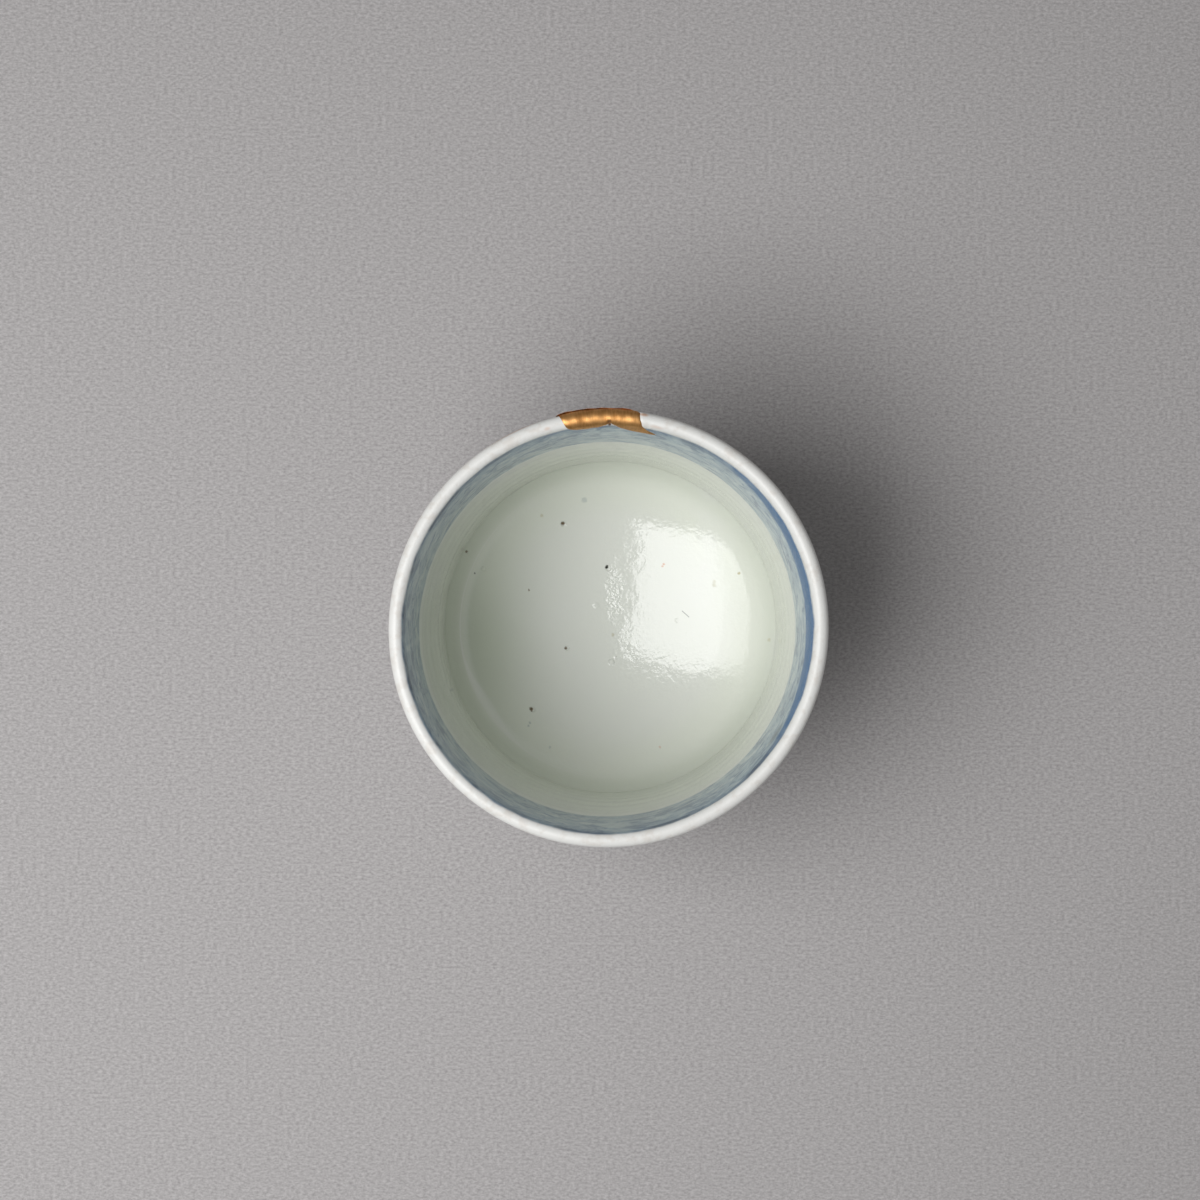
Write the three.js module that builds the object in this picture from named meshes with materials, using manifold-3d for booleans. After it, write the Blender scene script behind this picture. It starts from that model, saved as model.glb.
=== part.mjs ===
// A small porcelain sake cup whose rim was chipped and mended with lacquer and gold.
// Millimetres, +Z up. The origin is the middle of the foot ring's contact face.
// The mend lies at +Y. The cup is a body of revolution that warped a little oval in the kiln.
import * as THREE from 'three';
import { mergeVertices } from 'three/addons/utils/BufferGeometryUtils.js';
import Module from 'manifold-3d';

// Overall sizes of the cup
const height = 52;
const rimRadius = 33;
const kilnWarp = 0.17;          // how far the rim stands out of round, at its longest axis
const kilnWarpAzimuth = 24.5;   // degrees from +X to that axis

// The lip and the wall
const lipThickness = 2.25;
const lipTilt = 18;             // degrees from upright, where the wall flares into the lip
const wallThickness = 3.1;      // measured level, where the wall meets the floor's fillet
const wallTilt = 3.5;           // degrees from upright, at the bottom of the wall
const floorCornerRadius = 26.3; // inside radius at the bottom of the wall

// The inside floor
const floorThickness = 3.2;
const dishRadius = 66;          // the floor is a shallow dish, this is its radius of curvature
const filletRadius = 3.8;       // between the dish and the wall

// The foot
const hipRadius = 10;           // the outer wall's curve into the foot
const footRadius = 22.6;        // where the hip meets the foot ring
const footTilt = 5;             // degrees, the foot ring narrows towards its contact face
const footRingWidth = 2.8;      // width of the unglazed contact face
const footChamfer = 0.4;
const recessDepth = 3;
const recessDome = 0.5;         // the recess is deeper at its edge than in its middle

// The chip in the rim: two flaked lobes side by side, drawn on two upright planes, one inside the wall and
// one outside it, with straight flakes between them. A lobe's left and right ends, along X from the cup's
// axis, are shares of the chip's length, and its depth under the rim's top is a share of the chip's depth.
const chipLength = 14;
const chipDeepest = 4.1;
const chipReachIn = 3.25;       // from the lip's inner side to the inside plane
const chipReachOut = 1.5;       // from the lip's outer side to the outside plane
const lobes = [
  { inside: { left: -0.32, right: 0.1, depth: 0.37 }, outside: { left: -0.67, right: 0.07, depth: 1 } },
  { inside: { left: -0.02, right: 0.48, depth: 0.76 }, outside: { left: -0.04, right: 0.34, depth: 0.73 } },
];
const bondGap = 0.3;            // lacquer line between the porcelain and the gold
const goldProud = 0.35;         // how far the gold stands proud of the lip

// Fineness of the faceted surfaces
const turns = 80;               // facets round the cup
const lipSteps = 8;
const wallSteps = 9;
const dishSteps = 6;
const filletSteps = 5;
const hipSteps = 6;
const chipSteps = 28;
const goldSteps = 4;

const radians = THREE.MathUtils.degToRad;

// The point at an angle on an arc, in a profile's own plane: x is the radius, y is the height.
function onArc(centre, radius, angle) {
  return new THREE.Vector2(centre.x + radius * Math.cos(angle), centre.y + radius * Math.sin(angle));
}

// Points along an arc from one angle to another, both ends included.
function arc(centre, radius, from, to, steps) {
  const points = [];
  for (let i = 0; i <= steps; i++) {
    points.push(onArc(centre, radius, from + (to - from) * i / steps));
  }
  return points;
}

// Where the fillet and the dish touch each other and the wall, from the sizes above.
function floorLayout() {
  const tilt = radians(wallTilt);
  const floorMiddle = recessDepth + floorThickness;
  const dishCentre = new THREE.Vector2(0, floorMiddle + dishRadius);
  const filletX = floorCornerRadius - filletRadius * Math.cos(tilt);
  const reach = dishRadius - filletRadius;
  const filletCentre = new THREE.Vector2(filletX, dishCentre.y - Math.sqrt(reach * reach - filletX * filletX));
  const corner = onArc(filletCentre, filletRadius, -tilt);
  const touch = Math.atan2(filletCentre.y - dishCentre.y, filletCentre.x);
  return { dishCentre, filletCentre, corner, touch, tilt };
}

// Where the lip's half circle ends on the inner and the outer wall.
function lipLayout(proud) {
  const radius = lipThickness / 2;
  const tilt = radians(lipTilt);
  const centre = new THREE.Vector2(rimRadius - radius, height - radius);
  return { centre, radius: radius + proud, outerAngle: -tilt, innerAngle: Math.PI - tilt };
}

// The inner wall is one curve that leaves the floor's corner at wallTilt and reaches the lip at lipTilt.
function innerWallCurve() {
  const { corner } = floorLayout();
  const lip = lipLayout(0);
  const end = onArc(lip.centre, lip.radius, lip.innerAngle);
  const slopeLow = Math.tan(radians(wallTilt));
  const slopeHigh = Math.tan(radians(lipTilt));
  const bendZ = (end.x - corner.x + slopeLow * corner.y - slopeHigh * end.y) / (slopeLow - slopeHigh);
  const bend = new THREE.Vector2(corner.x + slopeLow * (bendZ - corner.y), bendZ);
  return new THREE.QuadraticBezierCurve(corner, bend, end);
}

// The wall's level thickness at share t of the way from the floor's corner to the lip.
function levelThickness(t) {
  const atLip = lipThickness / Math.cos(radians(lipTilt));
  return wallThickness + (atLip - wallThickness) * t;
}

// The outer wall's points from the foot up to the lip.
function outerWall() {
  const inner = innerWallCurve();
  const start = inner.getPoint(0);
  const tilt = radians(wallTilt);
  const wallFoot = new THREE.Vector2(start.x + levelThickness(0), start.y);
  const hipCentre = new THREE.Vector2(
    wallFoot.x - hipRadius * Math.cos(tilt), wallFoot.y + hipRadius * Math.sin(tilt));
  const footAngle = -Math.acos((footRadius - hipCentre.x) / hipRadius);
  const points = arc(hipCentre, hipRadius, footAngle, -tilt, hipSteps);
  for (let i = 1; i < wallSteps; i++) {
    const point = inner.getPoint(i / wallSteps);
    points.push(new THREE.Vector2(point.x + levelThickness(i / wallSteps), point.y));
  }
  return points;
}

// The foot ring's section, from the middle of the recess out to the foot of the outer wall.
function footSection() {
  const top = outerWall()[0];
  const outer = footRadius - top.y * Math.tan(radians(footTilt));
  const inner = outer - footRingWidth;
  return [
    new THREE.Vector2(0, recessDepth),
    new THREE.Vector2((inner - footChamfer) / 2, recessDepth + recessDome / 4),
    new THREE.Vector2(inner - footChamfer, recessDepth + recessDome),
    new THREE.Vector2(inner, recessDepth + recessDome - footChamfer),
    new THREE.Vector2(inner, footChamfer),
    new THREE.Vector2(inner + footChamfer, 0),
    new THREE.Vector2(outer - footChamfer, 0),
    new THREE.Vector2(outer, footChamfer),
  ];
}

// The cup's whole section, from the recess round the outside, over the lip and down to the floor's middle.
function cupSection() {
  const lip = lipLayout(0);
  const inner = innerWallCurve();
  const { dishCentre, filletCentre, touch, tilt } = floorLayout();
  const points = [...footSection(), ...outerWall()];
  points.push(...arc(lip.centre, lip.radius, lip.outerAngle, lip.innerAngle, lipSteps));
  for (let i = wallSteps - 1; i > 0; i--) {
    points.push(inner.getPoint(i / wallSteps));
  }
  points.push(...arc(filletCentre, filletRadius, -tilt, touch, filletSteps));
  points.push(...arc(dishCentre, dishRadius, touch, -Math.PI / 2, dishSteps).slice(1, -1));
  points.push(new THREE.Vector2(0, dishCentre.y - dishRadius));
  return points;
}

// The share along the inner wall at which it lies a given depth under the rim's top, by halving.
function shareAtDepth(depth) {
  const inner = innerWallCurve();
  let low = 0;
  let high = 1;
  for (let i = 0; i < 30; i++) {
    const middle = (low + high) / 2;
    if (height - inner.getPoint(middle).y > depth) low = middle;
    else high = middle;
  }
  return high;
}

// The section of the gold ring that the mend is cut from: the lip and the wall under it, with the gold's
// thickness outside. It goes up the outside, over the lip, down the inside, and closes on itself.
function goldSection() {
  const lip = lipLayout(goldProud);
  const inner = innerWallCurve();
  const deepest = shareAtDepth(chipDeepest);
  const outside = [];
  const inside = [];
  for (let i = 0; i < goldSteps; i++) {
    const up = deepest + (1 - deepest) * i / goldSteps;
    const down = 1 - (1 - deepest) * (i + 1) / goldSteps;
    outside.push(new THREE.Vector2(inner.getPoint(up).x + levelThickness(up) + goldProud, inner.getPoint(up).y));
    inside.push(new THREE.Vector2(inner.getPoint(down).x - goldProud, inner.getPoint(down).y));
  }
  const rim = arc(lip.centre, lip.radius, lip.outerAngle, lip.innerAngle, lipSteps);
  return [...outside, ...rim, ...inside, outside[0].clone()];
}

// The kiln's warp: the cup goes oval towards its rim, and its foot stays round.
function warp(geometry) {
  const position = geometry.attributes.position;
  for (let i = 0; i < position.count; i++) {
    const x = position.getX(i);
    const y = position.getY(i);
    const z = position.getZ(i);
    const azimuth = Math.atan2(y, x) - radians(kilnWarpAzimuth);
    const stretch = 1 + kilnWarp / rimRadius * Math.cos(2 * azimuth) * (z / height) ** 2;
    position.setXY(i, x * stretch, y * stretch);
  }
  return geometry;
}

// A section turned about the Z axis. LatheGeometry turns about Y, so it is laid over.
function turned(section) {
  return warp(new THREE.LatheGeometry(section, turns).rotateX(Math.PI / 2));
}

// A lobe on one plane, in millimetres.
function lobeOn(plane, lobe) {
  const { left, right, depth } = lobe[plane];
  return { left: left * chipLength, right: right * chipLength, depth: depth * chipDeepest };
}

// How deep the chip is at a place along X, on one plane, drawn in by an inset. Each lobe is half an ellipse.
function chipDepth(x, plane, inset) {
  const depths = lobes.map((lobe) => {
    const { left, right, depth } = lobeOn(plane, lobe);
    const across = (x - (left + right) / 2) / ((right - left) / 2 - inset);
    return (depth - inset) * Math.sqrt(Math.max(0, 1 - across * across));
  });
  return Math.max(...depths);
}

// The chip's outline on one plane: along the flaked edge, then back above the rim.
function chipOutline(plane, inset) {
  const left = Math.min(...lobes.map((lobe) => lobeOn(plane, lobe).left)) + inset;
  const right = Math.max(...lobes.map((lobe) => lobeOn(plane, lobe).right)) - inset;
  const overRim = height + lipThickness;
  const points = [];
  for (let i = 0; i <= chipSteps; i++) {
    const sweep = (1 - Math.cos(Math.PI * i / chipSteps)) / 2;
    const x = left + (right - left) * sweep;
    points.push(new THREE.Vector2(x, height - chipDepth(x, plane, inset)));
  }
  points.push(new THREE.Vector2(right, overRim), new THREE.Vector2(left, overRim));
  return points;
}

// A solid that runs along +Y through the wall, from the chip's inside outline to its outside outline.
function chipSolid(inset) {
  const inside = chipOutline('inside', inset);
  const outside = chipOutline('outside', inset);
  const count = inside.length;
  const insideY = rimRadius - lipThickness - chipReachIn;
  const outsideY = rimRadius + chipReachOut;
  const positions = [];
  for (const point of inside) positions.push(point.x, insideY, point.y);
  for (const point of outside) positions.push(point.x, outsideY, point.y);
  const index = [];
  for (const [a, b, c] of THREE.ShapeUtils.triangulateShape(inside, [])) {
    index.push(a, b, c);
  }
  for (const [a, b, c] of THREE.ShapeUtils.triangulateShape(outside, [])) {
    index.push(count + a, count + c, count + b);
  }
  for (let i = 0; i < count; i++) {
    const next = (i + 1) % count;
    index.push(i, count + next, next, i, count + i, count + next);
  }
  const geometry = new THREE.BufferGeometry();
  geometry.setAttribute('position', new THREE.Float32BufferAttribute(positions, 3));
  geometry.setIndex(index);
  return geometry;
}

const wasm = await Module();
wasm.setup();

// A closed geometry as a solid that can be cut and joined.
function solid(geometry) {
  const bare = geometry.clone();
  bare.deleteAttribute('normal');
  bare.deleteAttribute('uv');
  const merged = mergeVertices(bare, 1e-4);
  const vertProperties = new Float32Array(merged.attributes.position.array);
  const corners = [...merged.index.array];
  const triVerts = [];
  for (let i = 0; i < corners.length; i += 3) {
    const [a, b, c] = corners.slice(i, i + 3);
    if (a !== b && b !== c && c !== a) triVerts.push(a, b, c);
  }
  const mesh = new wasm.Mesh({ numProp: 3, vertProperties, triVerts: new Uint32Array(triVerts) });
  return new wasm.Manifold(mesh);
}

// A solid as a geometry with flat facets.
function geometryOf(shape) {
  const mesh = shape.getMesh();
  const geometry = new THREE.BufferGeometry();
  geometry.setAttribute('position', new THREE.BufferAttribute(mesh.vertProperties, mesh.numProp));
  geometry.setIndex(new THREE.BufferAttribute(mesh.triVerts, 1));
  const flat = geometry.toNonIndexed();
  flat.computeVertexNormals();
  return flat;
}

// The fired porcelain, with the chip flaked out of its rim.
function porcelainCup() {
  const material = new THREE.MeshStandardMaterial({ color: '#e3e7df', roughness: 0.12, metalness: 0 });
  const body = solid(turned(cupSection())).subtract(solid(chipSolid(0)));
  const mesh = new THREE.Mesh(geometryOf(body), material);
  mesh.name = 'porcelain_cup';
  return mesh;
}

// The lacquer fill with its gold skin. It takes the chip's shape and laps a little proud of the lip.
function goldRepair() {
  const material = new THREE.MeshStandardMaterial({ color: '#b9803a', roughness: 0.38, metalness: 1 });
  const fill = solid(turned(goldSection())).intersect(solid(chipSolid(bondGap)));
  const mesh = new THREE.Mesh(geometryOf(fill), material);
  mesh.name = 'gold_repair';
  return mesh;
}

const cup = new THREE.Group();
cup.add(porcelainCup(), goldRepair());

export default cup;
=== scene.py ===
# A small porcelain sake cup with a grey-blue brushed band inside its lip and a gold mend in its rim,
# standing on grey paper and seen from straight above.
import math
from types import SimpleNamespace

import bpy
import numpy as np
from mathutils import Matrix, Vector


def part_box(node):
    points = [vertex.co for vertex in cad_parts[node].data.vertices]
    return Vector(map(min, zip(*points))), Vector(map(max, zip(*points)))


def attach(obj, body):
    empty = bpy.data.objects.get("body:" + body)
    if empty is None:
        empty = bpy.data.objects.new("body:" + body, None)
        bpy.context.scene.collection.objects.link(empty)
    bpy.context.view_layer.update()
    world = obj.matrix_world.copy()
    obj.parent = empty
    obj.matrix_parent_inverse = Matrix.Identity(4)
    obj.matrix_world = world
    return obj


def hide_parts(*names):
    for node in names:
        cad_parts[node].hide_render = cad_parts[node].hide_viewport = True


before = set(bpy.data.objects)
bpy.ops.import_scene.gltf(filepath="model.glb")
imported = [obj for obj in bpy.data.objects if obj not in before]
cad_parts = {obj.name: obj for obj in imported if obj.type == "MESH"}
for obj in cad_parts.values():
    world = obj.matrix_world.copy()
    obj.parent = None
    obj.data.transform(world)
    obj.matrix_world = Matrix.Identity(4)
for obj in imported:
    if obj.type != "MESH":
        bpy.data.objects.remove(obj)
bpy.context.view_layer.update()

# Sizes of the cup, in millimetres. MM turns them into metres, from the frame's own height.
HEIGHT = 52.0
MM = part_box("porcelain_cup")[1].z / HEIGHT
RIM_RADIUS = 32.99
KILN_WARP = 0.17                # how far the rim stands out of round
KILN_WARP_TURN = math.radians(24.5)
LIP_THICKNESS = 2.25
LIP_TILT = math.radians(18)
WALL_THICKNESS = 3.1
WALL_TILT = math.radians(3.5)
FLOOR_CORNER_RADIUS = 26.3
FLOOR_MIDDLE = 6.2
DISH_RADIUS = 66.0
DISH_EDGE = 14.0                # from here outwards the floor curves up more
OUTER_DISH_RADIUS = 40.0
FILLET_RADIUS = 3.8             # sets where the wall ends
FACET_FOOT_RADIUS = 24.6        # where a scraped facet between the wall and the floor would meet the floor
FACET_EASE = 9.0                # radius of the curve from the floor into the facet
HIP_RADIUS = 10.0
FOOT_RADIUS = 22.6
FOOT_TILT = math.radians(5)
FOOT_RING_WIDTH = 2.8
FOOT_EDGE_RADIUS = 0.4
NECK_RADIUS = 0.9               # between the foot and the hip
RECESS_DEPTH = 3.0
RECESS_DOME = 0.5
RECESS_CORNER_RADIUS = 0.6
WALL_BEND_RADIUS = 1.2          # between the wall and the facet
COLUMNS = 384                   # round the cup


# Profiles

def arc(centre, radius, start, stop, count):
    """Points on a circle: the centre plus the radius times (cos, sin) of count even angles."""
    angle = np.linspace(start, stop, count)
    return np.stack([centre[0] + radius * np.cos(angle), centre[1] + radius * np.sin(angle)], axis=1)


def corner(before, at, after, radius, count=12):
    """A rounded corner: the arc that touches both sides, radius / tan(half the angle) from the corner."""
    before, at, after = (np.array(point, float) for point in (before, at, after))
    back = (before - at) / np.hypot(*(before - at))
    onward = (after - at) / np.hypot(*(after - at))
    half = math.acos(float(back @ onward)) / 2
    middle = (back + onward) / np.hypot(*(back + onward))
    centre = at + middle * radius / math.sin(half)
    first, last = (at + side * radius / math.tan(half) - centre for side in (back, onward))
    start = math.atan2(first[1], first[0])
    sweep = (math.atan2(last[1], last[0]) - start + math.pi) % (2 * math.pi) - math.pi
    return arc(centre, radius, start, start + sweep, count)


def ease(foot, top, dish_centre, dish_radius):
    """The curve from the facet into the dish, and the angle where it ends. Its circle touches the facet's
    line from above and the dish from inside, so its centre is FACET_EASE from the line, and
    dish_radius - FACET_EASE from the dish's centre."""
    along = (top - foot) / np.hypot(*(top - foot))
    beside = np.array([-along[1], along[0]])
    start = foot + FACET_EASE * beside - dish_centre
    slant = start @ along
    reach = -slant - math.sqrt(slant ** 2 - start @ start + (dish_radius - FACET_EASE) ** 2)
    centre = dish_centre + start + reach * along
    leave = math.atan2(-beside[1], -beside[0])
    touch = math.atan2(*(centre - dish_centre)[::-1])
    return arc(centre, FACET_EASE, leave, touch, 40), touch


def wall_curve(first, last, count):
    """Quadratic curve: (1-t)^2 first + 2t(1-t) bend + t^2 last, with the bend where the end slopes meet."""
    low, high = math.tan(WALL_TILT), math.tan(LIP_TILT)
    bend_z = (last[0] - first[0] + low * first[1] - high * last[1]) / (low - high)
    bend = np.array([first[0] + low * (bend_z - first[1]), bend_z])
    t = np.linspace(0, 1, count)[:, None]
    return (1 - t) ** 2 * first + 2 * t * (1 - t) * bend + t ** 2 * last


def section_parts():
    """The cup's profile in parts of (radius, height) points, from the recess's middle to the floor's."""
    dish_centre = np.array([0, FLOOR_MIDDLE + DISH_RADIUS])
    fillet_x = FLOOR_CORNER_RADIUS - FILLET_RADIUS * math.cos(WALL_TILT)
    drop = math.sqrt((DISH_RADIUS - FILLET_RADIUS) ** 2 - fillet_x ** 2)
    wall_foot = np.array([FLOOR_CORNER_RADIUS, dish_centre[1] - drop - FILLET_RADIUS * math.sin(WALL_TILT)])
    edge = math.asin(DISH_EDGE / DISH_RADIUS)
    to_edge = np.array([math.sin(edge), -math.cos(edge)])
    outer_centre = dish_centre + (DISH_RADIUS - OUTER_DISH_RADIUS) * to_edge
    foot_x = FACET_FOOT_RADIUS - outer_centre[0]
    facet_foot = outer_centre + [foot_x, -math.sqrt(OUTER_DISH_RADIUS ** 2 - foot_x ** 2)]
    floor_bend, touch = ease(facet_foot, wall_foot, outer_centre, OUTER_DISH_RADIUS)
    outer_dish = arc(outer_centre, OUTER_DISH_RADIUS, touch, edge - math.pi / 2, 300)
    dish = arc(dish_centre, DISH_RADIUS, edge - math.pi / 2, -math.pi / 2, 300)
    lip_centre = (RIM_RADIUS - LIP_THICKNESS / 2, HEIGHT - LIP_THICKNESS / 2)
    lip = arc(lip_centre, LIP_THICKNESS / 2, -LIP_TILT, math.pi - LIP_TILT, 200)
    inner_wall = wall_curve(wall_foot, lip[-1], 500)
    bend_points = 12            # points of the wall that the bend at its foot takes up
    wall_bend = corner(inner_wall[bend_points], wall_foot, floor_bend[0], WALL_BEND_RADIUS)
    lip_level = LIP_THICKNESS / math.cos(LIP_TILT)
    level = np.linspace(WALL_THICKNESS, lip_level, len(inner_wall))
    outer_wall = inner_wall + np.stack([level, 0 * level], axis=1)
    hip_centre = outer_wall[0] + HIP_RADIUS * np.array([-math.cos(WALL_TILT), math.sin(WALL_TILT)])
    hip_start = -math.acos((FOOT_RADIUS - hip_centre[0]) / HIP_RADIUS)
    foot_top = arc(hip_centre, HIP_RADIUS, hip_start, hip_start, 1)[0]
    outer_foot = np.array([FOOT_RADIUS - foot_top[1] * math.tan(FOOT_TILT), 0])
    inner_foot = outer_foot - [FOOT_RING_WIDTH, 0]
    recess_edge = inner_foot + [0, RECESS_DEPTH + RECESS_DOME]
    recess_r = np.linspace(0, recess_edge[0] - 0.7, 80)
    recess_z = RECESS_DEPTH + RECESS_DOME * (recess_r / recess_edge[0]) ** 2
    recess = np.stack([recess_r, recess_z], axis=1)
    along_hip = foot_top + [-math.sin(hip_start), math.cos(hip_start)]
    neck = corner(outer_foot, foot_top, along_hip, NECK_RADIUS)
    hip_begin = math.atan2(*(neck[-1] - hip_centre)[::-1])
    return {
        "recess": recess,
        "recess_corner": corner(recess[-1], recess_edge, inner_foot, RECESS_CORNER_RADIUS),
        "inner_edge": corner(recess_edge, inner_foot, outer_foot, FOOT_EDGE_RADIUS),
        "outer_edge": corner(inner_foot, outer_foot, foot_top, FOOT_EDGE_RADIUS),
        "neck": neck,
        "hip": arc(hip_centre, HIP_RADIUS, hip_begin, -WALL_TILT, 160),
        "outer_wall": outer_wall,
        "lip": lip,
        "inner_wall": inner_wall[:bend_points:-1],
        "wall_bend": wall_bend,
        "floor_bend": floor_bend,
        "outer_dish": outer_dish,
        "dish": dish,
    }


# Rows of the mesh along each part of the profile
ROWS = {
    "recess": 14, "recess_corner": 5, "inner_edge": 5, "outer_edge": 5, "neck": 6, "hip": 17,
    "outer_wall": 46, "lip": 22, "inner_wall": 64, "wall_bend": 6, "floor_bend": 12, "outer_dish": 18,
    "dish": 28,
}


class Section:
    """The whole profile by distance along it in millimetres: zero on the lip's crest, above zero inside."""

    def __init__(self):
        parts = section_parts()
        points = np.concatenate(list(parts.values()))
        run = np.concatenate([[0], np.cumsum(np.hypot(*np.diff(points, axis=0).T))])
        run = run - run[np.argmax(points[:, 1])]
        keep = np.concatenate([[True], np.diff(run) > 1e-6])
        self.run, self.radius, self.height = run[keep], points[keep, 0], points[keep, 1]
        slope_r = np.gradient(self.radius, self.run)
        slope_z = np.gradient(self.height, self.run)
        length = np.hypot(slope_r, slope_z)
        self.out_r, self.out_z = slope_z / length, -slope_r / length
        ends = np.cumsum([len(part) for part in parts.values()])
        starts = ends - [len(part) for part in parts.values()]
        self.start = {name: float(run[a]) for name, a in zip(parts, starts)}
        rows = [np.linspace(run[a], run[b - 1], ROWS[name], endpoint=False)
                for name, a, b in zip(parts, starts, ends)]
        self.rows = np.concatenate(rows + [[run[-1]]])

    def at(self, run, values):
        return np.interp(run, self.run, values)


SECTION = Section()


def swell(value, low, high):
    """Smooth step: 3t^2 - 2t^3, with t the share of the way from low to high, held from 0 to 1."""
    t = np.clip((value - low) / (high - low), 0, 1)
    return t * t * (3 - 2 * t)


def hand_marks(turn, run):
    """How far the thrown surface stands proud of the profile: rings 4 to 7 mm apart on the walls, a ridge
    e^-((run - 13.6) / 0.9)^2 under the band, a floor in gentle waves with a shallow hollow left by a finger
    in its middle, and a swelling at the floor's edge."""
    radius = SECTION.at(run, SECTION.radius)
    x, y = radius * np.cos(turn), radius * np.sin(turn)
    inner = swell(run, 13, 17) * (1 - swell(run, 30, 34))
    outer = swell(-run, 4, 8) * (1 - swell(-run, 36, 42))
    slow, slower = run * 2 * math.pi / 4.6, run * 2 * math.pi / 7.3
    rings = np.sin(slow + 0.6 * np.sin(turn)) + 0.6 * np.sin(slower + turn)
    ridge = 0.035 * np.exp(-((run - 13.6 - 0.9 * np.cos(turn)) / 0.9) ** 2)
    waves = np.sin(0.50 * x + 0.31 * y + 1.0) + np.sin(0.27 * x - 0.55 * y + 2.2)
    ripples = np.sin(1.1 * y - 0.5 * x) + np.sin(1.3 * x + 0.7 * y + 0.5)
    uneven = (0.006 * waves + 0.0012 * ripples) * swell(run, 41, 47)
    edge = swell(run, SECTION.start["wall_bend"], SECTION.start["outer_dish"]) * swell(radius, 15, 22)
    swelling = 0.22 * edge * np.exp(3.5 * (np.cos(turn - math.radians(222)) - 1))
    hollow = 0.1 * np.exp(-((x - 0.5) ** 2 + (y + 1.0) ** 2) / 3.5 ** 2) * swell(run, 41, 47)
    return 0.02 * rings * (0.8 * inner + outer) + ridge + uneven + swelling - hollow


def cup_surface(turn, run, lift=0.0):
    """Points of the cup in millimetres: the profile at a run, lifted along its normal, turned, and warped in
    the kiln. The hollow drifts a little to the right as it goes down."""
    lift = lift + hand_marks(turn, run)
    radius = SECTION.at(run, SECTION.radius) + SECTION.at(run, SECTION.out_r) * lift
    height = SECTION.at(run, SECTION.height) + SECTION.at(run, SECTION.out_z) * lift
    share = height / HEIGHT
    stretch = 1 + KILN_WARP / RIM_RADIUS * np.cos(2 * (turn - KILN_WARP_TURN)) * share ** 2
    height = height + (0.03 * np.sin(3 * turn + 0.4) + 0.02 * np.sin(7 * turn)) * share ** 4
    drift = 0.35 * swell(run, 6, 36) * (1 - swell(run, 42, 60))
    spread = radius * stretch
    return np.stack([spread * np.cos(turn) + drift, spread * np.sin(turn), height], axis=-1)


# The mend's outline, in millimetres: along the rim to the right of +Y, and along the profile from the crest.
# The first list is its edge down the inside, from left to right, and the second its edge down the outside.
MEND_INSIDE = [
    (-7.9, -3.2), (-7.5, -1.0), (-6.9, 0.9), (-6.3, 2.0), (-5.2, 2.7), (-3.4, 2.85), (-1.5, 2.45),
    (-0.3, 1.5), (0.3, 0.95), (0.9, 1.6), (1.9, 2.9), (3.2, 3.75), (5.0, 4.3), (6.8, 4.35), (8.0, 4.0),
]
MEND_OUTSIDE = [
    (-7.9, -3.2), (-7.0, -4.1), (-5.4, -4.6), (-3.2, -4.3), (-0.9, -3.5), (0.3, -3.0), (1.6, -3.5),
    (3.0, -3.3), (4.1, -2.4), (4.75, -1.0), (5.0, 0.2), (5.45, 1.2), (6.3, 2.6), (8.0, 4.0),
]
MEND_CELL = 0.07                # width of the mesh's cells on the gold
MEND_SKIRT = 0.2                # how far the gold runs on under the glaze, out of sight
FILL_DEPTH = 0.3                # how far the fill goes into the chipped porcelain
MEND_PIT = (0.15, 0.75)         # a pit in the gold where its two lobes meet
CHIP_REACH = (9, 6)             # along the rim and the profile, further than the chip goes


def rounded_line(points, step=0.03):
    """A line through given points, evenly resampled and smoothed by a moving mean of 0.7 mm."""
    points = np.array(points)
    run = np.concatenate([[0], np.cumsum(np.hypot(*np.diff(points, axis=0).T))])
    even = np.arange(0, run[-1], step)
    line = np.stack([np.interp(even, run, points[:, k]) for k in range(2)], axis=1)
    width = 23
    padded = np.concatenate([np.repeat(line[:1], width // 2, 0), line, np.repeat(line[-1:], width // 2, 0)])
    mean = np.ones(width) / width
    return np.stack([np.convolve(padded[:, k], mean, "valid") for k in range(2)], axis=1)


def mend_margin(across, run):
    """How far inside the mend's edge a place is, in millimetres, and below zero outside it."""
    inside_line, outside_line = rounded_line(MEND_INSIDE), rounded_line(MEND_OUTSIDE)
    edge = np.concatenate([inside_line, outside_line[::-1]])
    places = np.stack([across.ravel(), run.ravel()], axis=1)
    nearest = np.full(len(places), np.inf)
    for block in np.array_split(edge, 40):
        gap = np.hypot(places[:, :1] - block[:, 0], places[:, 1:] - block[:, 1])
        nearest = np.minimum(nearest, gap.min(axis=1))
    order = np.argsort(inside_line[:, 0])
    top = np.interp(places[:, 0], inside_line[order, 0], inside_line[order, 1])
    order = np.argsort(outside_line[:, 0])
    bottom = np.interp(places[:, 0], outside_line[order, 0], outside_line[order, 1])
    within = (places[:, 1] < top) & (places[:, 1] > bottom)
    within &= (places[:, 0] > MEND_INSIDE[0][0]) & (places[:, 0] < MEND_INSIDE[-1][0])
    return np.where(within, nearest, -nearest).reshape(across.shape)


def chip_depth(across):
    """How deep the chip is under the rim's top: two half ellipses side by side, inside the gold's outline."""
    left = 1.7 * np.sqrt(np.clip(1 - ((across + 3.0) / 3.4) ** 2, 0, 1))
    right = 2.0 * np.sqrt(np.clip(1 - ((across - 2.5) / 2.5) ** 2, 0, 1))
    return np.maximum(left, right)


# Meshes

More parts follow.
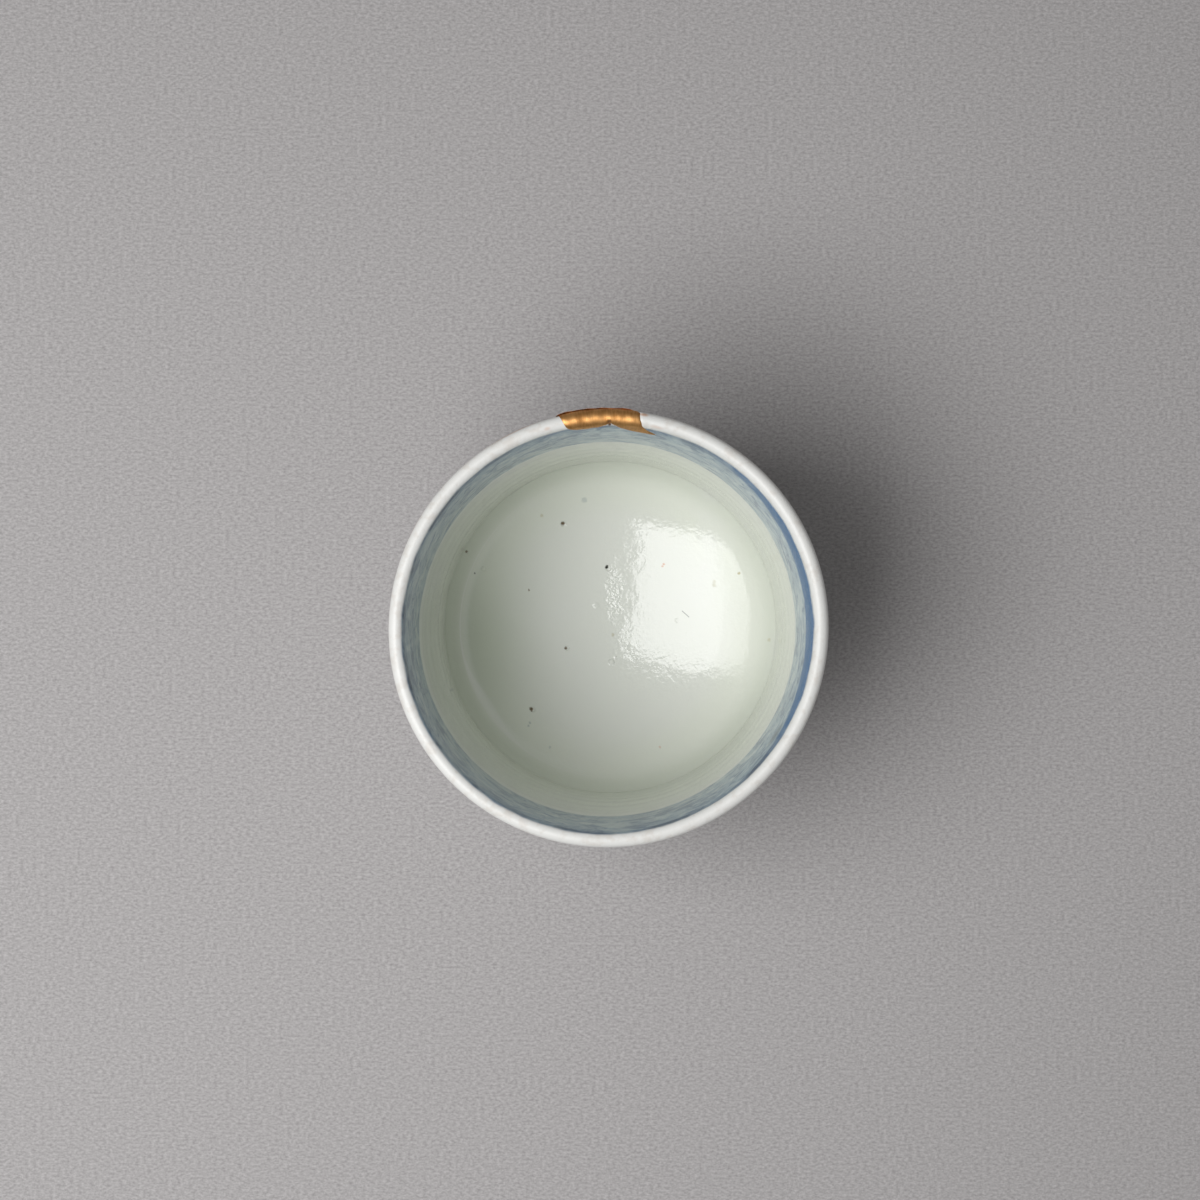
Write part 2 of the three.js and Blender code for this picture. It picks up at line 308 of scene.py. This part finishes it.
def mesh_piece(name, points, faces, material, **fields):
    """A smooth mesh piece from points in millimetres and faces, with a named number on each of its points."""
    mesh = bpy.data.meshes.new(name)
    mesh.from_pydata((points * MM).tolist(), [], faces)
    mesh.update()
    mesh.shade_smooth()
    for field, values in fields.items():
        attribute = mesh.attributes.new(field, "FLOAT", "POINT")
        attribute.data.foreach_set("value", np.ascontiguousarray(values, np.float32))
    mesh.materials.append(material)
    piece = bpy.data.objects.new(name, mesh)
    bpy.context.scene.collection.objects.link(piece)
    return piece


def porcelain_cup(material):
    """The cup: the profile's rows times even turns, a pole at each end, and the lip lowered where it is
    chipped, as far as the gold covers it."""
    turn = np.arange(COLUMNS) * 2 * math.pi / COLUMNS
    rows = SECTION.rows[1:-1]
    turns, runs = np.meshgrid(turn, rows)
    points = cup_surface(turns, runs)
    across = RIM_RADIUS * ((math.pi / 2 - turns + math.pi) % (2 * math.pi) - math.pi)
    near = (abs(across) < CHIP_REACH[0]) & (abs(runs) < CHIP_REACH[1])
    covered = np.zeros(runs.shape)
    covered[near] = swell(mend_margin(across[near], runs[near]), 0.1, 0.5)
    over = np.clip(points[..., 2] - (HEIGHT - chip_depth(across)), 0, None) * covered
    slide = over * math.tan(LIP_TILT) / np.hypot(points[..., 0], points[..., 1])
    points = points - np.stack([points[..., 0] * slide, points[..., 1] * slide, over], axis=-1)
    flat = points.reshape(-1, 3)
    poles = [[0, 0, RECESS_DEPTH], [0, 0, FLOOR_MIDDLE + float(hand_marks(0.0, SECTION.rows[-1]))]]
    index = np.arange(len(flat)).reshape(points.shape[:2])
    onward = np.roll(index, -1, axis=1)
    quads = np.stack([index[:-1], onward[:-1], onward[1:], index[1:]], axis=-1).reshape(-1, 4)
    low, high = len(flat), len(flat) + 1
    bottom = [[low, int(b), int(a)] for a, b in zip(index[0], onward[0])]
    top = [[high, int(a), int(b)] for a, b in zip(index[-1], onward[-1])]
    run = np.concatenate([runs.ravel(), SECTION.rows[[0, -1]]])
    faces = quads.tolist() + bottom + top
    return mesh_piece("cup_of_porcelain", np.concatenate([flat, poles]), faces, material, section=run)


def gold_height(across, run, margin):
    """The gold's height over the lip: a rounded edge 1 - e^(-margin / 0.3), fuller outside, and uneven."""
    outer = 0.06 * swell(-run, 0.2, 1.6) * np.exp(-((across + 2.4) / 4.6) ** 4)
    brushed = 0.018 * np.sin(2.1 * across + 1.3 * run) + 0.014 * np.sin(3.7 * across - 1.9 * run + 1)
    body = (0.16 + outer + brushed) * (1 - np.exp(-np.clip(margin, 0, None) / 0.3))
    pit = 0.22 * np.exp(-((across - MEND_PIT[0]) ** 2 + (run - MEND_PIT[1]) ** 2) / 0.26 ** 2)
    return np.where(margin > 0, body - pit, margin * 0.6)


def gold_repair(material):
    """The mend: a grid over the lip, kept where it is inside the outline, with an underside and a border."""
    left, right = MEND_INSIDE[0][0] - 0.4, MEND_INSIDE[-1][0] + 0.4
    across = np.arange(right, left, -MEND_CELL)
    run = np.arange(-5.2, 5.0, MEND_CELL)
    acrosses, runs = np.meshgrid(across, run)
    turns = math.pi / 2 - acrosses / RIM_RADIUS
    margin = mend_margin(acrosses, runs)
    top = cup_surface(turns, runs, gold_height(acrosses, runs, margin)).reshape(-1, 3)
    under = cup_surface(turns, runs, -FILL_DEPTH).reshape(-1, 3)
    index = np.arange(len(top)).reshape(acrosses.shape)
    corners = [index[:-1, :-1], index[:-1, 1:], index[1:, 1:], index[1:, :-1]]
    cells = np.stack(corners, axis=-1).reshape(-1, 4)
    cells = cells[(margin.ravel()[cells] > -MEND_SKIRT).all(axis=1)]
    edges = np.concatenate([cells[:, [k, (k + 1) % 4]] for k in range(4)])
    code, back = edges[:, 0] * len(top) + edges[:, 1], edges[:, 1] * len(top) + edges[:, 0]
    rim = edges[~np.isin(code, back)]
    border = np.stack([rim[:, 1], rim[:, 0], rim[:, 0] + len(top), rim[:, 1] + len(top)], axis=1)
    faces = np.concatenate([cells, cells[:, ::-1] + len(top), border])
    used, faces = np.unique(faces, return_inverse=True)
    faces = faces.reshape(-1, 4)
    points = np.concatenate([top, under])[used]
    both = {name: np.tile(values.ravel(), 2)[used]
            for name, values in (("across", acrosses), ("section", runs), ("margin", margin))}
    return mesh_piece("gold_mend", points, faces.tolist(), material, **both)


# Materials

def colour(red, green, blue):
    """A colour given as 0 to 255 screen values, as the linear values that a socket takes."""
    screen = np.array([red, green, blue]) / 255
    linear = np.where(screen <= 0.04045, screen / 12.92, ((screen + 0.055) / 1.055) ** 2.4)
    return (*linear.tolist(), 1.0)


class Field:
    """A socket that takes Python arithmetic: each operator adds one Math node."""

    def __init__(self, surface, socket):
        self.surface = surface
        self.socket = socket

    def math(self, operation, *others):
        return self.surface.math(operation, self, *others)

    def __add__(self, other):
        return self.math("ADD", other)

    def __radd__(self, other):
        return self.surface.math("ADD", other, self)

    def __sub__(self, other):
        return self.math("SUBTRACT", other)

    def __rsub__(self, other):
        return self.surface.math("SUBTRACT", other, self)

    def __mul__(self, other):
        return self.math("MULTIPLY", other)

    def __rmul__(self, other):
        return self.surface.math("MULTIPLY", other, self)


class Surface:
    """A material's nodes. node() adds any node, and the others are short forms of the ones used most."""

    def __init__(self, name):
        self.material = bpy.data.materials.new(name)
        self.material.use_nodes = True
        self.nodes = self.material.node_tree.nodes
        self.links = self.material.node_tree.links
        self.nodes.clear()

    def node(self, kind, settings=None, sockets=None, output=0):
        made = self.nodes.new(kind)
        for name, value in (settings or {}).items():
            setattr(made, name, value)
        for name, value in (sockets or {}).items():
            if isinstance(value, Field):
                self.links.new(value.socket, made.inputs[name])
            else:
                made.inputs[name].default_value = value
        return Field(self, made.outputs[output]) if made.outputs else None

    def math(self, operation, *values):
        return self.node("ShaderNodeMath", {"operation": operation}, dict(enumerate(values)))

    def place(self):
        """Object coordinates in millimetres."""
        metres = self.node("ShaderNodeTexCoord", output="Object")
        return self.scaled(metres, (1 / MM,) * 3)

    def scaled(self, vector, factors):
        return self.node("ShaderNodeVectorMath", {"operation": "MULTIPLY"}, {0: vector, 1: factors})

    def parts(self, vector):
        split = self.node("ShaderNodeSeparateXYZ", None, {0: vector}).socket.node
        return [Field(self, socket) for socket in split.outputs]

    def joined(self, x, y, z):
        return self.node("ShaderNodeCombineXYZ", None, {0: x, 1: y, 2: z})

    def attribute(self, name):
        return self.node("ShaderNodeAttribute", {"attribute_name": name}, output="Fac")

    def noise(self, vector, scale, detail=2.0, roughness=0.5, distortion=0.0):
        """Noise with features about 1 / scale millimetres wide, from 0 to 1 and mostly near 0.5."""
        sockets = {"Vector": vector, "Scale": scale, "Detail": detail, "Roughness": roughness,
                   "Distortion": distortion}
        return self.node("ShaderNodeTexNoise", None, sockets)

    def smooth(self, value, low, high):
        """0 up to low, 1 from high on, with a smooth step between."""
        sockets = {"Value": value, "From Min": low, "From Max": high}
        return self.node("ShaderNodeMapRange", {"interpolation_type": "SMOOTHSTEP"}, sockets)

    def line(self, value, middle, half, soft):
        """1 along a line where value is near middle, and 0 away from it."""
        away = (value - middle).math("ABSOLUTE")
        return 1 - self.smooth(away, half - soft, half + soft)

    def spot(self, plan, middle, radius, strength):
        """strength in a soft-edged round spot on the plan view, and 0 away from it."""
        sockets = {0: plan, 1: (*middle, 0.0)}
        gap = self.node("ShaderNodeVectorMath", {"operation": "DISTANCE"}, sockets, output="Value")
        sockets = {"Value": gap, "From Min": radius * 0.45, "From Max": radius * 1.25,
                   "To Min": strength, "To Max": 0.0}
        return self.node("ShaderNodeMapRange", {"interpolation_type": "SMOOTHSTEP"}, sockets)

    def blend(self, base, over, share):
        """base with over laid on it, by share."""
        return self.node("ShaderNodeMix", {"data_type": "RGBA"}, {0: share, 6: base, 7: over}, output=2)

    def around(self, turn, centre, tightness):
        """A rounded bump round the cup: e^(tightness (cos(turn - centre) - 1)), with centre in degrees."""
        return (((turn - math.radians(centre)).math("COSINE") - 1) * tightness).math("EXPONENT")

    def finish(self, colours, roughness, height, **fixed):
        """The shader, with its relief's height in millimetres. Fixed values go straight on its sockets."""
        bump = self.node("ShaderNodeBump", None, {"Height": height, "Distance": MM})
        sockets = {"Base Color": colours, "Roughness": roughness, "Normal": bump}
        sockets.update({name.replace("_", " "): value for name, value in fixed.items()})
        shader = self.node("ShaderNodeBsdfPrincipled", None, sockets)
        self.node("ShaderNodeOutputMaterial", None, {"Surface": shader})
        return self.material


# Colours of the cup
GLAZE = colour(213, 214, 210)
GLAZE_GREEN = colour(212, 215, 205)
# Pooled glaze, also used as painted shade on the cup's left side
POOLED_GLAZE_AND_SHADE = colour(186, 193, 177)
LIP_WHITE = colour(219, 219, 216)
LIP_WORN = colour(207, 203, 197)
WASH = colour(142, 162, 172)
WASH_DARK = colour(82, 104, 128)
WASH_LIGHT = colour(178, 192, 192)
COBALT = colour(18, 88, 138)
COBALT_DARK = colour(38, 62, 92)
SMUDGE = colour(52, 56, 60)
STAIN = colour(196, 150, 118)
PASTE = colour(208, 198, 182)
PASTE_FLASH = colour(190, 142, 104)

# Specks under the glaze, by colour: x and y in millimetres, radius and strength
SPECKS = {
    colour(92, 74, 46): [(-7.25, 16.6, 0.34, 0.95), (-22.5, 12.0, 0.26, 0.85), (-12.7, 5.9, 0.18, 0.7),
                         (-6.8, -3.4, 0.26, 0.9), (-12.3, -13.1, 0.3, 0.95), (-12.25, -13.35, 0.2, 0.8)],
    colour(44, 44, 40): [(-0.25, 9.55, 0.26, 1.0), (-0.1, 9.75, 0.2, 0.9), (-21.3, 8.6, 0.17, 0.7)],
    colour(78, 52, 34): [(0.15, 30.8, 0.3, 1.0), (0.25, 31.05, 0.24, 1.0)],
    colour(196, 150, 122): [(8.7, 9.75, 0.2, 0.7), (8.95, 10.05, 0.2, 0.8), (8.3, -19.2, 0.18, 0.5)],
    colour(166, 156, 112): [(20.9, 8.6, 0.28, 0.75), (17.0, 6.7, 0.36, 0.3), (17.0, 7.2, 0.36, 0.25),
                            (25.6, -2.0, 0.34, 0.35), (-10.6, 17.8, 0.3, 0.4), (0.8, -1.3, 0.3, 0.4)],
    colour(138, 152, 156): [(-12.5, -15.3, 0.2, 0.5), (-12.7, -15.8, 0.2, 0.5), (-3.8, 20.3, 0.5, 0.35),
                            (-9.3, -19.2, 0.25, 0.35), (-24.6, -9.8, 0.25, 0.35)],
}
# Where the glaze stands proud or is pitted, so that it glints: x and y, radius, and height in millimetres
GLINTS = [
    (-7.1, 16.5, 0.5, -0.16), (0.05, 9.45, 0.5, -0.14), (-6.55, -3.4, 0.4, -0.14),
    (-12.1, -13.2, 0.45, -0.16), (0.55, -5.65, 0.5, 0.14), (1.2, -4.9, 0.26, 0.04), (-1.9, 3.5, 0.5, 0.06),
    (11.1, 1.1, 0.4, -0.03), (17.3, 6.9, 0.6, 0.03), (-19.9, 9.3, 0.4, 0.1),
]
SCRATCH = ((11.9, 2.55), (12.95, 1.6))
SCRATCH_WIDTH = 0.11
SCRATCH_GREY = colour(120, 126, 122)
ROUGH_PATCH = (1.0, 6.2)        # the middle of a patch of rough glaze on the floor

# Reddish-brown stains on the lip: turn in degrees, run, half length along the lip, and strength
STAINS = [
    (115, -1.6, 6.5, 0.9), (99, -1.4, 3.0, 0.6), (80.6, -0.9, 0.9, 1.0), (107, 0.3, 0.8, 0.5),
    (76.5, 0.8, 1.6, 0.4), (152, -1.7, 5.0, 0.5),
]
# Cobalt lines round the outside, one under the lip and two over the foot: height, half width and softness
OUTSIDE_LINES = [(47.4, 0.3, 0.16), (9.6, 0.22, 0.13), (8.3, 0.34, 0.16)]
SMUDGE_TURN = math.radians(-32.6)
SMUDGE_RUN = 4.9


def cup_places(paint):
    """What the cup's finishes are worked out from: places in millimetres, turns round it and slow noises."""
    at = SimpleNamespace(place=paint.place(), run=paint.attribute("section"))
    at.x, at.y, at.z = paint.parts(at.place)
    at.turn = at.y.math("ARCTAN2", at.x)
    at.east, at.north = at.turn.math("COSINE"), at.turn.math("SINE")
    at.inside = paint.smooth(at.run, -0.4, 0.4)
    at.outer = 1 - at.inside
    at.cloud = paint.noise(at.place, 0.09, 2)
    at.wander = paint.noise(at.place, 0.25, 2) - 0.5
    at.ring = paint.joined(at.east * RIM_RADIUS, at.north * RIM_RADIUS, at.run)
    ragged = 0.3 * (paint.noise(at.place, 3.0, 1) - 0.5)
    at.plan = paint.joined(at.x + ragged, at.y - ragged, 0.0)
    return at


def white_glaze(paint, at):
    """The glaze: greener on the wall and pooled on the facet at its foot, with painted shade on the facet and
    the floor towards the left, and painted highlight lines on the left.
    """
    run, turn = at.run, at.turn
    wall_end, floor_start = SECTION.start["wall_bend"], SECTION.start["outer_dish"]
    walled = paint.smooth(run, 6.0, 16.0) * (1 - 0.7 * paint.smooth(run, floor_start, floor_start + 7.0))
    greener = (0.1 + walled * at.inside * 0.9) * paint.smooth(at.cloud, 0.1, 0.5)
    glaze = paint.blend(GLAZE, GLAZE_GREEN, greener)
    facet = paint.smooth(run, wall_end - 0.1, wall_end + 0.5)
    facet = facet * (1 - paint.smooth(run, wall_end + 1.2, floor_start))
    # Pooled glaze on the facet all round; the extra share towards 185 degrees is painted shade
    glaze = paint.blend(glaze, POOLED_GLAZE_AND_SHADE, facet * (0.3 + 0.55 * paint.around(turn, 185, 1.5)))
    # Painted shade: the floor's outer part towards the left darkened with the pooled glaze's colour
    painted_floor_shade = paint.smooth(run, floor_start - 1.5, floor_start)
    painted_floor_shade = painted_floor_shade * (1 - paint.smooth(run, floor_start, floor_start + 16))
    glaze = paint.blend(glaze, POOLED_GLAZE_AND_SHADE, painted_floor_shade * paint.around(turn, 185, 4) * 0.85)

    # Painted highlights in lip white, on the left side only: a thin line over the facet, and a painted
    # reflection at its foot, widening to a wedge
    painted_highlight_line = paint.line(run, wall_end - 0.15, 0.12, 0.1) * paint.around(turn, 180, 2.2)
    reflection_wedge = paint.around(turn, 213, 30)
    painted_reflection_line = paint.line(run, floor_start - 1.85 + 0.8 * reflection_wedge, 0.1 + 0.8 * reflection_wedge, 0.08 + 0.3 * reflection_wedge)
    painted_reflection_line = painted_reflection_line * paint.around(turn, 190, 2.5) * (0.6 - 0.25 * reflection_wedge)
    return paint.blend(glaze, LIP_WHITE, painted_highlight_line * 0.45 + painted_reflection_line)


def stained_lip(paint, at, body):
    """The lip, whiter than the rest, worn in places and stained reddish brown."""
    lip = paint.line(at.run, -0.6, 2.6, 0.9)
    darker_mix = paint.smooth(paint.noise(at.place, 0.55, 3, 0.6), 0.48, 0.68)
    body = paint.blend(body, paint.blend(LIP_WHITE, LIP_WORN, darker_mix * 0.7), lip)
    for centre, height, wide, strength in STAINS:
        along = (at.turn - math.radians(centre)) * (RIM_RADIUS / wide)
        up = at.run - height
        gap = (along * along + up * up * 5.0).math("SQRT") + at.wander * 1.2
        body = paint.blend(body, STAIN, (1 - paint.smooth(gap, 0.1, 1.0)) * (strength * 0.75))
    return body


def brushed_band(paint, at, body):
    """The grey-blue band inside the lip: streaks along the brush, cobalt along its top, and a smudge."""
    run, turn, ring, east, north, wander = at.run, at.turn, at.ring, at.east, at.north, at.wander
    top = 1.35 + 0.44 * east + 0.3 * north + wander * 0.7
    foot = 12.3 + 1.05 * east + 0.61 * north + wander * 0.9
    band = paint.smooth(run - top, -0.15, 0.35) * (1 - paint.smooth(run - foot, -0.35, 0.3))
    strokes = paint.noise(paint.scaled(ring, (0.22, 0.22, 0.6)), 1.0, 3, 0.6, 1.3)
    fine = paint.noise(paint.scaled(ring, (0.6, 0.6, 1.7)), 1.0, 2, 0.6, 1.0)
    smudge = paint.noise(paint.scaled(ring, (0.12, 0.12, 0.2)), 1.0, 2, 0.5, 0.8)
    wash = paint.blend(WASH, WASH_DARK, 0.85 * paint.smooth(strokes, 0.5, 0.63))
    wash = paint.blend(wash, WASH_LIGHT, 0.8 * paint.smooth(1 - strokes, 0.53, 0.66))
    wash = paint.blend(wash, WASH_DARK, 0.5 * paint.smooth(fine, 0.53, 0.65))
    wash = paint.blend(wash, WASH_LIGHT, 0.7 * paint.smooth(smudge, 0.55, 0.66))
    wash = paint.blend(wash, COBALT, 0.34 * (1 - paint.smooth(run - top, 0.0, 3.4)))
    body = paint.blend(body, wash, band * 0.92)

    # Cobalt pooled along the band's upper edge, thickest on the right and broken into dashes elsewhere
    strong = paint.around(turn, 22, 6) + 0.8 * paint.around(turn, -8, 9)
    weaker = 0.6 * paint.around(turn, -48, 5) + 0.6 * paint.around(turn, 178, 1.4)
    dashes = paint.smooth(paint.noise(paint.scaled(ring, (0.16, 0.16, 0.16)), 1.0, 2), 0.42, 0.6)
    swollen = 0.6 + 0.8 * paint.noise(paint.scaled(ring, (0.25, 0.25, 0.1)), 1.0, 2)
    pool = paint.line(run - top, 0.6 + 0.9 * strong, 0.5 + 1.1 * strong * swollen, 0.45)
    share = (strong + (weaker + 0.28) * (0.3 + 1.1 * dashes)).math("MINIMUM", 1.0)
    blue = paint.blend(COBALT_DARK, COBALT, paint.smooth(strong, 0.1, 0.6))
    body = paint.blend(body, blue, pool * share * 0.92)

    # A dark smudge in the band's right side
    along, up = (turn - SMUDGE_TURN) * RIM_RADIUS, run - SMUDGE_RUN
    gap = (along * along * 0.11 + up * up * 0.5).math("SQRT") + wander
    return paint.blend(body, SMUDGE, at.inside * (1 - paint.smooth(gap, 0.2, 1.1)) * 0.5)


def lined_outside(paint, at, body):
    """Thin cobalt lines round the outside, drawn by hand, so that they wander and the brush runs dry."""
    level = at.z - (0.5 * paint.noise(paint.scaled(at.ring, (0.05, 0.05, 0.0)), 1.0, 1) - 0.25)
    lines = 0.0
    for height, half, soft in OUTSIDE_LINES:
        lines = paint.line(level, height, half, soft) + lines
    load = 0.45 + 0.5 * paint.noise(paint.scaled(at.ring, (0.3, 0.3, 1.6)), 1.0, 3)
    return paint.blend(body, COBALT, lines * at.outer * load)


def specked(paint, at, body):
    """Specks with ragged edges, on the inside."""
    for tint, specks in SPECKS.items():
        spots = 0.0
        for speck_x, speck_y, radius, strength in specks:
            spots = paint.spot(at.plan, (speck_x, speck_y), radius, strength).math("MAXIMUM", spots)
        body = paint.blend(body, tint, spots * at.inside)
    return body


def scratched(paint, at, body):
    """One grey scratch on the floor: within SCRATCH_WIDTH of the line between its two ends."""
    (first_x, first_y), (last_x, last_y) = SCRATCH
    length = math.hypot(last_x - first_x, last_y - first_y)
    lie_x, lie_y = (last_x - first_x) / length, (last_y - first_y) / length
    from_x, from_y = at.x - first_x, at.y - first_y
    along, beside = from_x * lie_x + from_y * lie_y, from_y * lie_x - from_x * lie_y
    past = ((along - length / 2).math("ABSOLUTE") - length / 2).math("MAXIMUM", 0.0)
    gap = (past * past + beside * beside).math("SQRT")
    scratch = at.inside * (1 - paint.smooth(gap, 0.02, SCRATCH_WIDTH))
    return paint.blend(body, SCRATCH_GREY, scratch * 0.8)


def glaze_relief(paint, at):
    """Orange peel in the glaze, rougher in a patch on the floor, and the spots that glint."""
    glints = 0.0
    for glint_x, glint_y, radius, proud in GLINTS:
        glints = paint.spot(at.plan, (glint_x, glint_y), radius, proud) + glints
    peel = paint.noise(at.place, 2.1, 1.5, 0.55) - 0.5
    dimples = paint.noise(at.place, 0.7, 1, 0.5) - 0.5
    patch_x, patch_y = at.x - ROUGH_PATCH[0], at.y - ROUGH_PATCH[1]
    gap = (patch_x * patch_x * 0.9 + patch_y * patch_y * 0.09).math("SQRT") + 2.0 * at.wander
    patch = 1 - paint.smooth(gap, 0.9, 1.7)
    return at.inside * glints + peel * (0.02 + 0.14 * patch) + dimples * (0.03 + 0.12 * patch)


def glazed_porcelain():
    """White glaze with a grey-blue brushed band under it inside the lip, lines outside, and a bare foot."""
    paint = Surface("glazed_porcelain")
    at = cup_places(paint)
    body = stained_lip(paint, at, white_glaze(paint, at))
    body = lined_outside(paint, at, brushed_band(paint, at, body))
    body = scratched(paint, at, specked(paint, at, body))

    # The bare foot ring, flushed orange along the edge of the glaze
    glaze_edge = at.z + 0.3 * at.wander
    bare = at.outer * (1 - paint.smooth(glaze_edge, 0.3, 0.5))
    body = paint.blend(body, PASTE, bare)
    body = paint.blend(body, PASTE_FLASH, at.outer * paint.line(glaze_edge, 0.5, 0.2, 0.15) * 0.5)

    # A glossy glaze, a lip rubbed dull and a gritty foot
    rubbed = paint.line(at.run, -0.4, 1.9, 0.9) * (0.28 + 0.12 * paint.noise(at.place, 1.2, 2))
    roughness = 0.03 + 0.02 * at.cloud + 0.7 * bare + rubbed
    grit = paint.noise(at.place, 3.5, 3)
    return paint.finish(body, roughness, glaze_relief(paint, at) + bare * grit * 0.05, IOR=1.45)


GOLD = colour(218, 166, 106)
GOLD_DEEP = colour(188, 134, 78)
LACQUER = colour(96, 62, 36)


def powdered_gold():
    """Satin gold powder on lacquer, with a fine grain across the lip, thin and brown along its edge."""
    paint = Surface("powdered_gold")
    place = paint.place()
    run, across, margin = (paint.attribute(name) for name in ("section", "across", "margin"))
    grain = paint.noise(paint.joined(across * 4.5, run * 0.6, 0.0), 1.0, 3, 0.6)
    powder = paint.noise(place, 9.0, 2, 0.6)
    cloud = paint.noise(place, 0.8, 2)
    skin = paint.blend(GOLD, GOLD_DEEP, paint.smooth(0.5 * grain + 0.5 * cloud, 0.38, 0.66))
    thin = 0.6 * (1 - paint.smooth(margin + 0.2 * (cloud - 0.5), -0.1, 0.14))
    pit_x, pit_y = across - MEND_PIT[0], run - MEND_PIT[1]
    pit_gap = (pit_x * pit_x + pit_y * pit_y).math("SQRT")
    pit = 1 - paint.smooth(pit_gap + 0.2 * (powder - 0.5), 0.18, 0.42)
    # The gold gives way to lacquer brown along its thin edge, and to dark lacquer colour in the pit where the
    # lobes meet
    darker_mix = thin.math("MAXIMUM", pit)
    skin = paint.blend(skin, LACQUER, darker_mix * 0.8)
    roughness = 0.4 + 0.14 * grain + 0.1 * powder
    relief = (grain - 0.5) * 0.02 + (powder - 0.5) * 0.008
    return paint.finish(skin, roughness, relief, Metallic=1 - 0.7 * darker_mix)


def grey_paper():
    """Pale grey paper, a little mottled."""
    paint = Surface("grey_paper")
    place = paint.place()
    fibres = paint.noise(paint.scaled(place, (1.5, 2.6, 1.0)), 1.0, 3, 0.8)
    tint = paint.blend(colour(141, 138, 138), colour(189, 186, 186), paint.smooth(fibres, 0.2, 0.8))
    return paint.finish(tint, 0.9, (fibres - 0.5) * 0.02)


# The stage, the camera and the lights

PHOTO_SIDE = 1200               # pixels
RIM_PIXELS = 219.8              # the rim's mean radius in the photograph
RIM_MIDDLE = (608.6, 628.8)     # the rim's middle in the photograph
CAMERA_OVER_RIM = 650.0
SENSOR = 36.0


def camera():
    """Straight above, at the distance from which the cup's inside shows as in the photograph."""
    pixel = RIM_RADIUS / RIM_PIXELS
    data = bpy.data.cameras.new("camera")
    data.sensor_width = SENSOR
    data.lens = SENSOR * CAMERA_OVER_RIM / (PHOTO_SIDE * pixel)
    data.clip_start = 0.01
    piece = bpy.data.objects.new("camera", data)
    offset_x, offset_y = (PHOTO_SIDE / 2 - RIM_MIDDLE[0]) * pixel, (RIM_MIDDLE[1] - PHOTO_SIDE / 2) * pixel
    piece.location = (offset_x * MM, offset_y * MM, (HEIGHT + CAMERA_OVER_RIM) * MM)
    bpy.context.scene.collection.objects.link(piece)
    bpy.context.scene.camera = piece


def paper_floor(material):
    """A sheet of paper 1.8 m square, flat under the cup."""
    half = 900.0
    corners = np.array([[-half, -half, 0], [half, -half, 0], [half, half, 0], [-half, half, 0]])
    floor = mesh_piece("paper_floor", corners, [[0, 1, 2, 3]], material)


def window():
    """One softbox at the left in side by side strips: even from its near edge, then fading to its far one."""
    near_edge, near, fading, strips = -0.17, 0.23, 0.13, 5
    length, radiance = 0.36, 6.9
    place = {"turn": 199.9, "tilt": 29.8, "distance": 0.456, "twist": -24.5}
    softbox("window_near", size=(near, length), radiance=radiance, slide=near_edge + near / 2, **place)
    wide = fading / strips
    for k in range(strips):
        share = 0.75 - 0.35 * k / (strips - 1)
        softbox(f"window_far_{k}", size=(wide, length), radiance=radiance * share,
                slide=near_edge + near + wide * (k + 0.5), **place)


def softbox(name, turn, tilt, distance, size, radiance, twist=0.0, slide=0.0):
    """A rectangular light facing the cup's rim, from a turn round it and a tilt from straight up, in degrees.
    size is its width along the tilt and its length across it, in metres. slide moves it along its width."""
    turn, tilt, twist = (math.radians(angle) for angle in (turn, tilt, twist))
    back = np.array([math.sin(tilt) * math.cos(turn), math.sin(tilt) * math.sin(turn), math.cos(tilt)])
    level = np.array([-math.sin(turn), math.cos(turn), 0.0])
    outward = np.cross(level, back)
    wide = math.cos(twist) * outward + math.sin(twist) * level
    axes = np.stack([wide, np.cross(back, wide), back], axis=1)
    data = bpy.data.lights.new(name, "AREA")
    data.shape = "RECTANGLE"
    data.size, data.size_y = size
    data.energy = radiance * math.pi * size[0] * size[1]
    light = bpy.data.objects.new(name, data)
    light.location = back * distance + wide * slide + [0, 0, HEIGHT * MM]
    light.rotation_euler = Matrix(axes.tolist()).to_euler()
    light.visible_camera = False
    bpy.context.scene.collection.objects.link(light)


def surroundings(radiance):
    """Even white light from all round."""
    world = bpy.data.worlds.new("studio")
    world.use_nodes = True
    background = world.node_tree.nodes["Background"]
    background.inputs["Color"].default_value = (1, 1, 1, 1)
    background.inputs["Strength"].default_value = radiance
    bpy.context.scene.world = world


camera()
bpy.context.scene.view_settings.view_transform = "Standard"
paper_floor(grey_paper())
surroundings(0.22)
window()

cup = porcelain_cup(glazed_porcelain())
gold = gold_repair(powdered_gold())
for piece, node, slot in ((cup, "porcelain_cup", "porcelain"), (gold, "gold_repair", "gold")):
    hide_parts(node)
    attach(piece, "root")
